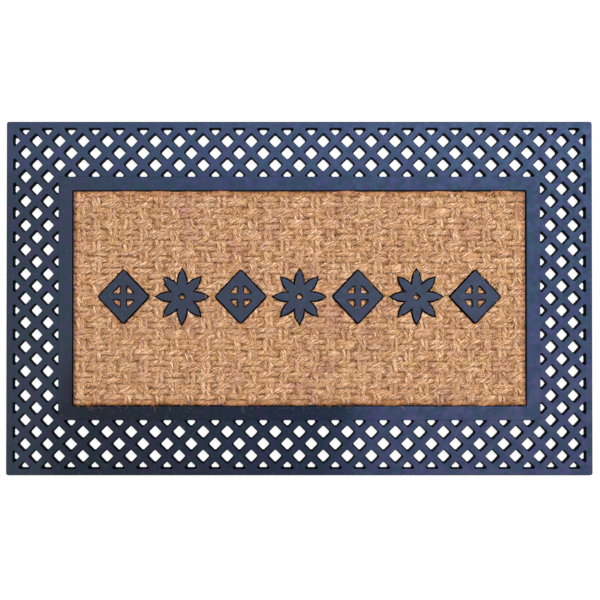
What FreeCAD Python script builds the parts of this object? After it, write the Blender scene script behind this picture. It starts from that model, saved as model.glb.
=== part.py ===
import FreeCAD, Part
import math
import os

# Door mat: a black rubber border moulded as a diamond lattice, with a plain solid frame round a panel of
# woven coir. The panel is bonded to a rubber backing sheet that closes the frame from below, and seven
# raised rubber motifs stand on it in a row.
#
# Millimetres. +X runs along the mat, +Y runs from its front edge to its back edge and +Z is up. The origin
# is on the floor under the middle of the mat.

# Driving dimensions: the border moulding
MAT_LENGTH = 762.0
MAT_WIDTH = 460.0
MOULDING_HEIGHT = 9.0
RIM_WIDTH = 8.8
RIM_CORNER_RADIUS = 3.0
RIM_EDGE_RADIUS = 1.2

FRAME_LENGTH = 627.0
FRAME_WIDTH = 317.0
FRAME_BAND = 18.5
OPENING_CORNER_RADIUS = 2.0

# Driving dimensions: the lattice, counted in cells, a cell being one diamond's pitch
FRAME_CELLS_ALONG = 20
FRAME_CELLS_ACROSS = 10
BORDER_CELLS = 2
BAR_WIDTH = 9.0
HOLE_CORNER_RADIUS = 1.2

# Driving dimensions: the layers in the middle, from the floor up
BACKING_THICKNESS = 2.6
BACKING_LAP = 10.0
BACKING_CLEARANCE = 0.3
PIP_HEIGHT = 0.8
PIP_RADIUS = 3.2
PIP_DRAFT = 0.6
PIP_PITCH = 20.0
BOND_THICKNESS = 0.6
COIR_THICKNESS = 6.3
COIR_GAP = 0.8
COIR_EDGE_RADIUS = 1.5

# Driving dimensions: the row of raised motifs
MOTIF_COUNT = 7
MOTIF_ROW_LENGTH = 524.0
MOTIF_GAP = 9.0
MOTIF_HEIGHT = 71.0
MOTIF_THICKNESS = 3.6
MOTIF_SINK = 1.5
MOTIF_ROW_OFFSET = 2.0
MOTIF_EDGE_CHAMFER = 0.6
MOTIF_CORNER_RADIUS = 2.5
MOTIF_CLEARANCE = 0.3

LOZENGE_BAND = 11.0
LOZENGE_RIB = 8.5
WINDOW_CORNER_RADIUS = 1.0

PETAL_COUNT = 8
PETAL_WIDTH = 12.5
ROSETTE_EYE = 11.0

# Worked out from the driving dimensions
LATTICE_LENGTH = MAT_LENGTH - 2 * RIM_WIDTH
LATTICE_WIDTH = MAT_WIDTH - 2 * RIM_WIDTH
CELLS_ALONG = FRAME_CELLS_ALONG + 2 * BORDER_CELLS
CELLS_ACROSS = FRAME_CELLS_ACROSS + 2 * BORDER_CELLS
OPENING_LENGTH = FRAME_LENGTH - 2 * FRAME_BAND
OPENING_WIDTH = FRAME_WIDTH - 2 * FRAME_BAND
REBATE_LENGTH = OPENING_LENGTH + 2 * BACKING_LAP
REBATE_WIDTH = OPENING_WIDTH + 2 * BACKING_LAP
BOND_TOP = BACKING_THICKNESS + BOND_THICKNESS
COIR_TOP = BOND_TOP + COIR_THICKNESS
MOTIF_FLOOR = COIR_TOP - MOTIF_SINK
MOTIF_LENGTH = (MOTIF_ROW_LENGTH - (MOTIF_COUNT - 1) * MOTIF_GAP) / MOTIF_COUNT
UP = FreeCAD.Vector(0, 0, 1)
SAME_HEIGHT = 1e-6


def rectangle(length, width):
    """Corners of a rectangle about the origin, anticlockwise."""
    x, y = length / 2, width / 2
    return [(-x, -y), (x, -y), (x, y), (-x, y)]


def lozenge(length, width):
    """Corners of an upright diamond about the origin, anticlockwise."""
    return [(0, -width / 2), (length / 2, 0), (0, width / 2), (-length / 2, 0)]


def inset(corners, depths):
    """Corners of an anticlockwise polygon whose sides have moved inwards, each by its own depth."""
    lines = []
    for index, start in enumerate(corners):
        end = corners[(index + 1) % len(corners)]
        along = FreeCAD.Vector(end[0] - start[0], end[1] - start[1], 0).normalize()
        inwards = UP.cross(along)
        lines.append((FreeCAD.Vector(start[0], start[1], 0) + inwards * depths[index], along))
    moved = []
    for index, (point, along) in enumerate(lines):
        last_point, last_along = lines[index - 1]
        distance = (point - last_point).cross(along).z / last_along.cross(along).z
        corner = last_point + last_along * distance
        moved.append((corner.x, corner.y))
    return moved


def rounded_outline(corners, radius, height):
    """Closed wire round a polygon at one height, with an arc in each corner."""
    points = [FreeCAD.Vector(x, y, height) for x, y in corners]
    arcs = []
    for index, corner in enumerate(points):
        to_last = (points[index - 1] - corner).normalize()
        to_next = (points[(index + 1) % len(points)] - corner).normalize()
        half_angle = to_last.getAngle(to_next) / 2
        bisector = (to_last + to_next).normalize()
        reach = radius / math.tan(half_angle)
        crown = corner + bisector * (radius / math.sin(half_angle) - radius)
        arcs.append((corner + to_last * reach, crown, corner + to_next * reach))
    edges = []
    for index, (start, crown, end) in enumerate(arcs):
        last_end = arcs[index - 1][2]
        edges.append(Part.LineSegment(last_end, start).toShape())
        edges.append(Part.Arc(start, crown, end).toShape())
    return Part.Wire(edges)


def plate(outline, windows, thickness):
    """Flat plate of even thickness, standing on its outline, with windows right through it."""
    face = Part.makeFace([outline] + windows, "Part::FaceMakerBullseye")
    return face.extrude(UP * thickness)


def edges_at(shape, height):
    """Edges of a shape that lie flat at one height."""
    found = []
    for edge in shape.Edges:
        lowest, highest = edge.BoundBox.ZMin, edge.BoundBox.ZMax
        if abs(lowest - height) < SAME_HEIGHT and abs(highest - height) < SAME_HEIGHT:
            found.append(edge)
    return found


def block(length, width, radius, floor, top):
    """Rectangular plate about the origin with rounded upright corners."""
    return plate(rounded_outline(rectangle(length, width), radius, floor), [], top - floor)


def lattice_line(cells, frame_cells, frame_size, lattice_size):
    """Distance from the mat's middle line of a point that many cells in from the rim."""
    border_cell = (lattice_size - frame_size) / 2 / BORDER_CELLS
    frame_cell = frame_size / frame_cells
    before_frame = min(cells, BORDER_CELLS)
    past_frame = max(cells - BORDER_CELLS - frame_cells, 0)
    beside_frame = cells - before_frame - past_frame
    return (before_frame + past_frame) * border_cell + beside_frame * frame_cell - lattice_size / 2


def in_lattice(along, across):
    """Whether a place, in cells, is in the open lattice and not in the rim or the frame."""
    beside_rim = 0 <= along <= CELLS_ALONG and 0 <= across <= CELLS_ACROSS
    past_frame_ends = BORDER_CELLS < along < BORDER_CELLS + FRAME_CELLS_ALONG
    past_frame_sides = BORDER_CELLS < across < BORDER_CELLS + FRAME_CELLS_ACROSS
    return beside_rim and not (past_frame_ends and past_frame_sides)


def lattice_hole(along, across):
    """Wire of one hole. A hole on the rim's or the frame's edge is half a diamond, cut off straight there."""
    steps = [(0, -0.5), (0.5, 0), (0, 0.5), (-0.5, 0)]
    places = [(along + step_x, across + step_y) for step_x, step_y in steps]
    kept = [in_lattice(*place) for place in places]
    corners = []
    depths = []
    for index, (cells_x, cells_y) in enumerate(places):
        if kept[index]:
            x = lattice_line(cells_x, FRAME_CELLS_ALONG, FRAME_LENGTH, LATTICE_LENGTH)
            y = lattice_line(cells_y, FRAME_CELLS_ACROSS, FRAME_WIDTH, LATTICE_WIDTH)
            corners.append((x, y))
            bar_on_this_side = kept[(index + 1) % len(kept)]
            depths.append(BAR_WIDTH / 2 if bar_on_this_side else 0)
    return rounded_outline(inset(corners, depths), HOLE_CORNER_RADIUS, 0)


def lattice_holes():
    """Wires of all the holes: their centres alternate, like one colour of a chequerboard."""
    holes = []
    for half_x in range(2 * CELLS_ALONG + 1):
        for half_y in range(2 * CELLS_ACROSS + 1):
            if (half_x + half_y) % 2 == 1 and in_lattice(half_x / 2, half_y / 2):
                holes.append(lattice_hole(half_x / 2, half_y / 2))
    return holes


def border_moulding():
    """Rim, lattice and frame in one piece, with a rebate under the frame for the backing sheet."""
    outline = rounded_outline(rectangle(MAT_LENGTH, MAT_WIDTH), RIM_CORNER_RADIUS, 0)
    opening = rounded_outline(rectangle(OPENING_LENGTH, OPENING_WIDTH), OPENING_CORNER_RADIUS, 0)
    moulding = plate(outline, [opening] + lattice_holes(), MOULDING_HEIGHT)
    rebate = block(REBATE_LENGTH, REBATE_WIDTH, OPENING_CORNER_RADIUS, 0, BACKING_THICKNESS)
    moulding = moulding.cut(rebate)
    rim_edges = []
    for edge in edges_at(moulding, MOULDING_HEIGHT):
        middle = edge.CenterOfMass
        near_end = abs(middle.x) > MAT_LENGTH / 2 - RIM_CORNER_RADIUS
        near_side = abs(middle.y) > MAT_WIDTH / 2 - RIM_CORNER_RADIUS
        if near_end or near_side:
            rim_edges.append(edge)
    return moulding.makeFillet(RIM_EDGE_RADIUS, rim_edges)


def backing_sheet():
    """Rubber sheet glued into the rebate, with rows of small round pips under it for grip."""
    length = REBATE_LENGTH - 2 * BACKING_CLEARANCE
    width = REBATE_WIDTH - 2 * BACKING_CLEARANCE
    sheet = block(length, width, OPENING_CORNER_RADIUS, PIP_HEIGHT, BACKING_THICKNESS)
    columns = int(length // PIP_PITCH)
    rows = int(width // PIP_PITCH)
    pips = []
    for column in range(columns):
        for row in range(rows):
            x = (column - (columns - 1) / 2) * PIP_PITCH
            y = (row - (rows - 1) / 2) * PIP_PITCH
            foot = FreeCAD.Vector(x, y, 0)
            pips.append(Part.makeCone(PIP_RADIUS - PIP_DRAFT, PIP_RADIUS, PIP_HEIGHT, foot))
    return sheet.fuse(pips).removeSplitter()


def bond_layer():
    """Film of latex that holds the coir to the backing sheet."""
    length = OPENING_LENGTH - 2 * COIR_GAP
    width = OPENING_WIDTH - 2 * COIR_GAP
    return block(length, width, OPENING_CORNER_RADIUS, BACKING_THICKNESS, BOND_TOP)


def lozenge_window(side_x, side_y, margin):
    """Corners of one window between the lozenge's band and its cross, anticlockwise."""
    inner = inset(lozenge(MOTIF_LENGTH, MOTIF_HEIGHT), [LOZENGE_BAND] * 4)
    reach_x, reach_y = inner[1][0], inner[2][1]
    rib = LOZENGE_RIB / 2
    far_x = reach_x * (1 - rib / reach_y)
    far_y = reach_y * (1 - rib / reach_x)
    corners = [(side_x * rib, side_y * rib), (side_x * far_x, side_y * rib), (side_x * rib, side_y * far_y)]
    if side_x * side_y < 0:
        corners.reverse()
    return inset(corners, [margin] * 3)


def soften_top(shape):
    """A raised shape with the edges of its top taken off."""
    return shape.makeChamfer(MOTIF_EDGE_CHAMFER, edges_at(shape, MOTIF_FLOOR + MOTIF_THICKNESS))


def lozenge_motif(margin):
    """Open lozenge with a cross in it, made larger all round by the margin."""
    corners = inset(lozenge(MOTIF_LENGTH, MOTIF_HEIGHT), [-margin] * 4)
    outline = rounded_outline(corners, MOTIF_CORNER_RADIUS, MOTIF_FLOOR)
    windows = []
    for side_x, side_y in [(1, 1), (-1, 1), (-1, -1), (1, -1)]:
        window = lozenge_window(side_x, side_y, margin)
        windows.append(rounded_outline(window, WINDOW_CORNER_RADIUS, MOTIF_FLOOR))
    return soften_top(plate(outline, windows, MOTIF_THICKNESS))


def petal(turn, margin):
    """Leaf-shaped prism from the middle of a rosette to its tip."""
    reach_x = MOTIF_LENGTH / 2 + margin
    reach_y = MOTIF_HEIGHT / 2 + margin
    tip = FreeCAD.Vector(reach_x * math.cos(turn), reach_y * math.sin(turn), MOTIF_FLOOR)
    root = UP * MOTIF_FLOOR
    middle = (root + tip) / 2
    across = UP.cross(tip).normalize() * (PETAL_WIDTH / 2 + margin)
    right = Part.Arc(root, middle - across, tip).toShape()
    left = Part.Arc(tip, middle + across, root).toShape()
    return soften_top(plate(Part.Wire([right, left]), [], MOTIF_THICKNESS))


def rosette_motif(margin):
    """Rosette of petals that run together in the middle, with a small square eye through it."""
    petals = [petal(2 * math.pi * number / PETAL_COUNT, margin) for number in range(PETAL_COUNT)]
    eye_corners = inset(lozenge(ROSETTE_EYE, ROSETTE_EYE), [margin] * 4)
    eye = plate(rounded_outline(eye_corners, WINDOW_CORNER_RADIUS, MOTIF_FLOOR), [], MOTIF_THICKNESS)
    return petals[0].fuse(petals[1:]).cut(eye).removeSplitter().Solids[0]


def motif_row(margin):
    """Name and solid of each motif, left to right: a lozenge at each end and the two kinds by turns."""
    kinds = [("lozenge", lozenge_motif(margin)), ("rosette", rosette_motif(margin))]
    pitch = MOTIF_LENGTH + MOTIF_GAP
    row = []
    for number in range(MOTIF_COUNT):
        kind, shape = kinds[number % len(kinds)]
        middle = FreeCAD.Vector((number - (MOTIF_COUNT - 1) / 2) * pitch, MOTIF_ROW_OFFSET, 0)
        row.append((f"motif_{number + 1}_{kind}", shape.translated(middle)))
    return row


def coir_panel():
    """Woven coir as one plain slab, with a shallow bed pressed into it under each motif."""
    length = OPENING_LENGTH - 2 * COIR_GAP
    width = OPENING_WIDTH - 2 * COIR_GAP
    slab = block(length, width, OPENING_CORNER_RADIUS, BOND_TOP, COIR_TOP)
    slab = slab.makeFillet(COIR_EDGE_RADIUS, edges_at(slab, COIR_TOP))
    return slab.cut([shape for _, shape in motif_row(MOTIF_CLEARANCE)])


def save(name, shape):
    """Write one part's file and say what it holds."""
    shape.exportStep(f"parts/{name}.step")
    print(f"{name}: {len(shape.Solids)} solid, valid {shape.isValid()}, {shape.Volume / 1000:.1f} cm3")


os.makedirs("parts", exist_ok=True)
save("border_moulding", border_moulding())
save("backing_sheet", backing_sheet())
save("bond_layer", bond_layer())
save("coir_panel", coir_panel())
for name, shape in motif_row(0):
    save(name, shape)
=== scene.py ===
import math

import bmesh
import bpy
import numpy as np
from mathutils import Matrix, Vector
from mathutils.bvhtree import BVHTree
from mathutils.geometry import tessellate_polygon


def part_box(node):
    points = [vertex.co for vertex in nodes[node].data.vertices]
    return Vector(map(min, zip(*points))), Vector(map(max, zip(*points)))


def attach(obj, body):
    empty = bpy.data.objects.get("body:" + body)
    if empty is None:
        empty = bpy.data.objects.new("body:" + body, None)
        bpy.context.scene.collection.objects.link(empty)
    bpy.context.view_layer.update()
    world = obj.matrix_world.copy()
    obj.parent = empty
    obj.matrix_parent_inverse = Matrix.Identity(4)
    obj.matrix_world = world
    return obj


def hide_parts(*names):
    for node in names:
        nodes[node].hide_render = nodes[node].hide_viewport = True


# Looks of the door mat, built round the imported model: the rubber border and motifs with softened moulded
# edges, and the coir panel woven from twisted yarn. Lengths are in metres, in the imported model's frame.

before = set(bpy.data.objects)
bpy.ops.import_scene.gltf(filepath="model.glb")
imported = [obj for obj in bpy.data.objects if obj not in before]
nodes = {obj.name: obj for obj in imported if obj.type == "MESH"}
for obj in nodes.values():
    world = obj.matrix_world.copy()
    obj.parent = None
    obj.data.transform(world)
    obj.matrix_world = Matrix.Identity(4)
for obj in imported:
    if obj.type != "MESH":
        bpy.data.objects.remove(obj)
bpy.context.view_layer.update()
MM = 0.001

# ---- Places and sizes read from the frame ----

MAT_LOW, MAT_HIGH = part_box("border_moulding")
COIR_LOW, COIR_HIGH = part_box("coir_panel")
COIR_CORNERS = np.array([COIR_LOW[:2], COIR_HIGH[:2]])
BACKING_LOW, BACKING_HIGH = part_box("backing_sheet")
MOTIF_NODES = sorted(name for name in nodes if name.startswith("motif_"))
MOTIF_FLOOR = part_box(MOTIF_NODES[0])[0].z
MOTIF_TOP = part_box(MOTIF_NODES[0])[1].z

# ---- Sizes of the details that only the looks have ----

BORDER_EDGE_RADIUS = 1.3 * MM
MOTIF_EDGE_RADIUS = 1.6 * MM
FOOT_EDGE_RADIUS = 0.3 * MM
EDGE_STEPS = 3
HOLE_DRAFT = 0.9 * MM
MOTIF_DRAFT = 1.1 * MM
WINDOW_DRAFT = 0.2 * MM
FOOT_CORNER_RADIUS = 1.4 * MM
FLAT_STRIP = 0.3 * MM
LIP_WIDTH = 18.3 * MM
LIP_HEIGHT = 0.6 * MM
LIP_OVERLAP = 0.7 * MM
LIP_CLEARANCE = 0.15 * MM
ARC_STEP = math.radians(17)
STRAIGHT_SIDE = 1.5 * MM
SAME_PLACE = 1e-6

# The weave is a basket weave: weft yarns run along the mat in touching pairs, and warp yarns cross them in
# pairs that stand further apart. Each yarn is a dark core with short strands wrapped over its top.
WEFT_COUNT = 39
WARP_PAIRS = 29
WEFT_PITCH = (COIR_HIGH.y - COIR_LOW.y) / WEFT_COUNT
PAIR_PITCH = (COIR_HIGH.x - COIR_LOW.x) / WARP_PAIRS
WARP_SPACING = 5.6 * MM
WEAVE_RISE = 0.85 * MM
WEAVE_LIFT = 0.5 * MM
WEAVE_FLATNESS = 0.45
WEAVE_UNEVENNESS = 0.3
EDGE_SLOPE = 9.0 * MM
EDGE_DROP = 1.6 * MM
YARN_SWAY = 0.9 * MM
RISE_WAVELENGTH = 18 * MM
WEFT_SWAY_WAVELENGTH = 24 * MM
WARP_SWAY_WAVELENGTH = 20 * MM
WEFT_ON_TOP_ABOVE = -0.3
RING_SPACING = 4.0 * MM
CORE_SIDES = 6
CORE_SHARE = 0.85
CORE_END_SHARE = 0.6
WEFT_HALF_WIDTH = 3.8 * MM
WARP_HALF_WIDTH = 3.1 * MM
YARN_HALF_HEIGHT = 1.2 * MM

WRAP_SPACING = 1.8 * MM
WRAP_LAY = 28.0 * MM
WRAP_RINGS = 6
WRAP_SIDES = 4
WRAP_RADIUS = 0.64 * MM
WRAP_SQUASH = 0.7
WRAP_HIDDEN_BELOW = -0.45
WRAP_RUN = 12 * MM

# Tufts are stiff tangled bundles on the yarns, and loose fibres are thin and lie over everything.
TUFT_COUNT = 17000
PATCH_WAVES = 12
PATCH_LENGTHS = (45 * MM, 130 * MM)
TUFT_RADIUS = 0.33 * MM
TUFT_LENGTHS = (5 * MM, 11 * MM)
TUFT_LIFT = 0.15 * MM
TUFT_CLEARANCE = 0.6 * MM
FIBRE_COUNT = 12000
FIBRE_RADIUS = 0.22 * MM
FIBRE_LENGTHS = (6 * MM, 22 * MM)
FIBRE_POINTS = 6
FIBRE_LIFT = 0.3 * MM
TUFT_SIDES = 3
TUFT_SQUASH = 0.7
FIBRE_SIDES = 3
WEFT_HEADING = math.radians(24)
WARP_HEADING = math.radians(106)
WILD_SHARE = 0.3
STRAY_FIBRES = 60
STRAYS_OVER_MOTIFS = 10
GRAZE_REACH = 1.3 * MM
GRAZE_SHARE = 0.15
STRAY_SHARE = 0.8
STRAY_HEADING = math.radians(-50)
STRAY_LENGTHS = (5 * MM, 13 * MM)
ON_MOTIF = 0.8 * MM
HEIGHT_CELL = 1.5 * MM
RAY_START = 0.05

# Yarns under a motif are pressed down to its floor, and slope down to it over a short reach.
YARN_CREST = 10.2 * MM
PRESS_REACH = 3.0 * MM

# The cloth under the yarns closes the gaps of the weave.
GROUND_CELL = 4.0 * MM
GROUND_TOP = 6.0 * MM
GROUND_SWELL = 0.4 * MM

WEFT_PIECES = 3
WARP_PIECES = 2
TUFT_PIECES = 3
FIBRE_PIECES = 2

# ---- Colours: each rubber is a cloudy mix of three close shades ----

BORDER_COLORS = ((0.015, 0.022, 0.048), (0.025, 0.019, 0.068), (0.009, 0.027, 0.034))
# Greyer colours for the painted shade at one end of the border and the frame.
SHADED_END_BORDER_COLORS = ((0.020, 0.023, 0.027), (0.026, 0.021, 0.036), (0.015, 0.025, 0.024))
SHADED_END_FRAME_COLORS = ((0.021, 0.025, 0.023), (0.028, 0.022, 0.031), (0.016, 0.027, 0.020))
MOTIF_COLORS = ((0.021, 0.024, 0.033), (0.026, 0.023, 0.036), (0.018, 0.026, 0.030))
BACKING_COLORS = ((0.030, 0.033, 0.040), (0.036, 0.036, 0.046), (0.026, 0.032, 0.038))
RUBBER_DUST = (0.08, 0.09, 0.12)
RUBBER_SHEEN = (0.30, 0.48, 1.0, 1.0)
RUBBER_GLOSS = 0.45
CLOUD_LIMITS = (0.38, 0.62)
# Painted shade: how the rubber turns greyer towards one end, where the sheen falls off.
SHADED_END_REACH = (-0.44, 0.0)
SHADED_END_SLANT = 0.6
SCUFFED_COLOR = (0.078, 0.066, 0.140)
SCUFFED_PLACE = (0.28, -0.25, 0.0)
SCUFFED_REACH = (0.14, 0.26)
SCUFFED_SHARE = 0.24
# Painted sheen: the rubber turns bluer along its far side.
PAINTED_SHEEN_COLOR = (0.066, 0.120, 0.240)
PAINTED_SHEEN_REACH = (0.15, 0.18)
PAINTED_SHEEN_SHARE = 0.1
# Painted shade: the rubber is darker and less glossy round this place.
SHADED_PLACE = (-0.13, -0.24, 0.0)
SHADED_PLACE_REACH = (0.14, 0.30)
SHADED_PLACE_LEVEL = 0.52
LIT_END_AT_LEAST = 0.2
COIR_TAN = (0.74, 0.44, 0.205)
COIR_STRAW = (0.83, 0.585, 0.38)
COIR_MAUVE = (0.53, 0.27, 0.225)
COIR_OLIVE = (0.69, 0.51, 0.19)
COIR_BROWN = (0.42, 0.225, 0.11)
COIR_SHADOW = (0.10, 0.045, 0.02)
COIR_UMBER = (0.19, 0.065, 0.028)
COIR_DARKENING_POWERS = {"Red": 0.72, "Green": 1.25, "Blue": 2.1}
LATEX_COLORS = ((0.50, 0.42, 0.28), (0.66, 0.58, 0.42))
EDGE_SHADE_REACH = 8 * MM
EDGE_SHADE = 0.62
SIDE_SHADE = 0.42
STREAK_LIMITS = (0.3, 0.65)
COIR_DEEP = 7.2 * MM
COIR_CREST = 8.8 * MM

# ---- Studio ----

FLOOR_HALF_SIZE = 3.0
FLOOR_HEIGHT = -0.2 * MM
FLOOR_GLOW = 0.9
FLOOR_COLORS = ((0.085, 0.085, 0.085), (0.09, 0.09, 0.09))
WORLD_COLOR = (1.0, 0.99, 0.97, 1.0)
WORLD_STRENGTH = 0.45
LIGHT_PLACE = (1.5, 1.5, 4.0)
LIGHT_SIZE = 2.0
LIGHT_POWER = 290.0
LIGHT_COLOR = (1.0, 0.98, 0.95)
SENSOR_WIDTH = 36.0
CAMERA_HEIGHT = 1.3
VIEW_WIDTH = 0.780
CAMERA_ASIDE = 0.9 * MM
CAMERA_BACK = -13.6 * MM
CAMERA_TILT = math.radians(0.5)

rng = np.random.default_rng(4207)


# ---- Meshes ----


def new_piece(name, points, faces, material, attributes=None):
    """A mesh object in the scene with smooth faces, one material and named values at its points."""
    mesh = bpy.data.meshes.new(name)
    mesh.from_pydata(points, [], faces)
    mesh.shade_smooth()
    for title, values in (attributes or {}).items():
        layer = mesh.attributes.new(title, "FLOAT_VECTOR", "POINT")
        layer.data.foreach_set("vector", np.asarray(values, np.float32).ravel())
    piece = bpy.data.objects.new(name, mesh)
    bpy.context.scene.collection.objects.link(piece)
    piece.data.materials.append(material)
    return piece


def flat_outlines(node, height):
    """Outlines of a CAD node's upward flat face at one height, each with the solid on its left side."""
    shell = bmesh.new()
    shell.from_mesh(node.data)
    bmesh.ops.remove_doubles(shell, verts=shell.verts, dist=SAME_PLACE)
    onward = {}
    for face in shell.faces:
        if face.normal.z > 0.99 and abs(face.calc_center_median().z - height) < SAME_PLACE:
            for loop in face.loops:
                onward[(loop.vert.index, loop.link_loop_next.vert.index)] = True
    border = {start: end for start, end in onward if (end, start) not in onward}
    shell.verts.ensure_lookup_table()
    outlines = []
    while border:
        first, current = border.popitem()
        outline = [first]
        while current != first:
            outline.append(current)
            current = border.pop(current)
        outlines.append(np.array([shell.verts[index].co.xy[:] for index in outline]))
    shell.free()
    return outlines


def thinned(outline):
    """An outline with fewer points on its arcs: a point stays where the line has turned far enough."""
    along = np.roll(outline, -1, axis=0) - outline
    length = np.linalg.norm(along, axis=1)
    heading = np.arctan2(along[:, 1], along[:, 0])
    turn = (heading - np.roll(heading, 1) + math.pi) % (2 * math.pi) - math.pi
    longest = int(np.argmax(length))
    kept = []
    turned = 0.0
    for step in range(len(outline)):
        index = (longest + step) % len(outline)
        turned += turn[index]
        straight_side = max(length[index], length[index - 1]) > STRAIGHT_SIDE
        if step == 0 or abs(turned) >= ARC_STEP or straight_side:
            kept.append(index)
            turned = 0.0
    return outline[kept]


def moved_into_solid(outline, depth):
    """An outline with every side moved by a depth towards the solid on its left."""
    after = np.roll(outline, -1, axis=0) - outline
    after /= np.linalg.norm(after, axis=1, keepdims=True)
    before = np.roll(after, 1, axis=0)
    normal_after = np.stack([-after[:, 1], after[:, 0]], axis=1)
    normal_before = np.stack([-before[:, 1], before[:, 0]], axis=1)
    middle = normal_after + normal_before
    spread = 1 + np.sum(normal_after * normal_before, axis=1, keepdims=True)
    return outline + middle * (depth / np.maximum(spread, 0.5))


def corner_pulls(outline):
    """Moves of an outline's points, for each metre by which the radius of its rounded corners grows."""
    along = np.roll(outline, -1, axis=0) - outline
    length = np.linalg.norm(along, axis=1)
    facing = np.stack([-along[:, 1], along[:, 0]], axis=1) / length[:, None]
    sides = np.flatnonzero(length > STRAIGHT_SIDE)
    pulls = np.zeros_like(outline)
    for index in range(len(outline)):
        before = facing[sides[np.searchsorted(sides, index) - 1]]
        after = facing[sides[np.searchsorted(sides, index) % len(sides)]]
        middle = facing[index] + facing[index - 1]
        pulls[index] = middle / np.linalg.norm(middle) - (before + after) / (1 + before @ after)
    return pulls


def enclosed_area(outline):
    """Area inside an outline: negative for a hole, which runs clockwise."""
    ahead = np.roll(outline, -1, axis=0)
    return np.sum(outline[:, 0] * ahead[:, 1] - ahead[:, 0] * outline[:, 1]) / 2


def rounded_edge(radius, height, rising):
    """Depths and heights along a quarter-round edge of a wall, from the flat face to the wall."""
    profile = []
    for step in range(EDGE_STEPS + 1):
        turn = math.radians(90) * step / EDGE_STEPS
        fall = radius * (1 - math.cos(turn))
        profile.append((radius * (1 - math.sin(turn)), height + fall if rising else height - fall))
    return profile


def wall_profile(top, floor, edge_radius, draft, setback=0.0):
    """Section of a moulded wall as (depth into the solid, height), from its top face down to its foot."""
    section = [(edge_radius + FLAT_STRIP, top)]
    section += rounded_edge(edge_radius, top, rising=False)
    foot = rounded_edge(FOOT_EDGE_RADIUS, floor, rising=True)
    section += [(depth - draft, height) for depth, height in reversed(foot)]
    return [(depth - setback, height) for depth, height in section]


def moulded_piece(name, walls, material):
    """Closed rubber moulding, with flat faces at its top and its foot.

    Each wall is an outline swept down a section, and its corners may widen towards the foot."""
    points, faces, tops, feet = [], [], [], []
    for outline, section, foot_corner_radius in walls:
        count = len(outline)
        first = len(points)
        pulls = corner_pulls(outline) * foot_corner_radius if foot_corner_radius else 0.0
        drop = section[0][1] - section[-1][1]
        for depth, height in section:
            ring = moved_into_solid(outline, depth) + pulls * ((section[0][1] - height) / drop)
            points += [(x, y, height) for x, y in ring]
        for level in range(len(section) - 1):
            for step in range(count):
                upper = first + level * count
                after = (step + 1) % count
                faces.append((upper + step, upper + count + step, upper + count + after, upper + after))
        tops.append(list(range(first, first + count)))
        last = first + (len(section) - 1) * count
        feet.append(list(range(last, last + count)))
    faces += flat_face(points, tops, facing_up=True)
    faces += flat_face(points, feet, facing_up=False)
    return new_piece(name, points, faces, material)


def flat_face(points, rings, facing_up):
    """Triangles that fill a flat face with holes, given its rings of point numbers."""
    order = [index for ring in rings for index in ring]
    lines = [[Vector(points[index]) for index in ring] for ring in rings]
    triangles = []
    for corners in tessellate_polygon(lines):
        a, b, c = (order[corner] for corner in corners)
        (ax, ay, _), (bx, by, _), (cx, cy, _) = points[a], points[b], points[c]
        anticlockwise = (bx - ax) * (cy - ay) - (cx - ax) * (by - ay) > 0
        triangles.append((a, b, c) if anticlockwise == facing_up else (a, c, b))
    return triangles


def border_moulding(material):
    """Rim, lattice and frame, and the outline of the opening.

    The opening steps out under the frame, where the backing sheet sits."""
    outlines = [thinned(outline) for outline in flat_outlines(nodes["border_moulding"], MAT_HIGH.z)]
    areas = [enclosed_area(outline) for outline in outlines]
    opening = int(np.argmin(areas))
    outside = int(np.argmax(areas))
    lap = (BACKING_HIGH.x - BACKING_LOW.x) / 2 - np.abs(outlines[opening][:, 0]).max()
    rim_radius = MAT_HIGH.x - outlines[outside][:, 0].max()
    hole_section = wall_profile(MAT_HIGH.z, MAT_LOW.z, BORDER_EDGE_RADIUS, HOLE_DRAFT)
    rim_section = wall_profile(MAT_HIGH.z, MAT_LOW.z, rim_radius, 0.0, setback=rim_radius)
    opening_section = [(BORDER_EDGE_RADIUS, MAT_HIGH.z), (LIP_CLEARANCE, MAT_HIGH.z)]
    opening_section += [(LIP_CLEARANCE, BACKING_HIGH.z), (lap, BACKING_HIGH.z)]
    opening_section += [(lap, MAT_LOW.z), (lap + FLAT_STRIP, MAT_LOW.z)]
    walls = [(outline, hole_section, FOOT_CORNER_RADIUS) for outline in outlines]
    walls[outside] = (outlines[outside], rim_section, 0.0)
    walls[opening] = (outlines[opening], opening_section, 0.0)
    return moulded_piece("rubber_border", walls, material), outlines[opening]


def frame_lip(opening, material):
    """The frame's slightly raised face, a ring on the moulding round the coir's opening."""
    top = MAT_HIGH.z + LIP_HEIGHT
    foot = MAT_HIGH.z - LIP_OVERLAP
    inner = [(BORDER_EDGE_RADIUS + FLAT_STRIP, top), *rounded_edge(BORDER_EDGE_RADIUS, top, rising=False)]
    outer = [(LIP_HEIGHT + FLAT_STRIP, top), *rounded_edge(LIP_HEIGHT, top, rising=False)]
    x, y = np.abs(opening).max(axis=0) + LIP_WIDTH
    outside = np.array([(-x, -y), (x, -y), (x, y), (-x, y)])
    walls = [(outside, outer + [(0, foot), (FLAT_STRIP, foot)], 0.0)]
    walls.append((opening, inner + [(FLAT_STRIP, foot)], 0.0))
    return moulded_piece("rubber_frame_lip", walls, material)


def motif_piece(node, material):
    """One rubber ornament, swept down from the outlines of its chamfered top face."""
    low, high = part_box(node)
    outlines = [thinned(outline) for outline in flat_outlines(nodes[node], high.z)]
    outer = max(outlines, key=enclosed_area)
    chamfer = high.y - outer[:, 1].max()
    walls = []
    for outline in outlines:
        draft = MOTIF_DRAFT if enclosed_area(outline) > 0 else WINDOW_DRAFT
        walls.append((outline, wall_profile(high.z, low.z, MOTIF_EDGE_RADIUS, draft, setback=chamfer), 0.0))
    return moulded_piece(node.replace("motif", "ornament"), walls, material)


# ---- Coir ----


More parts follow.
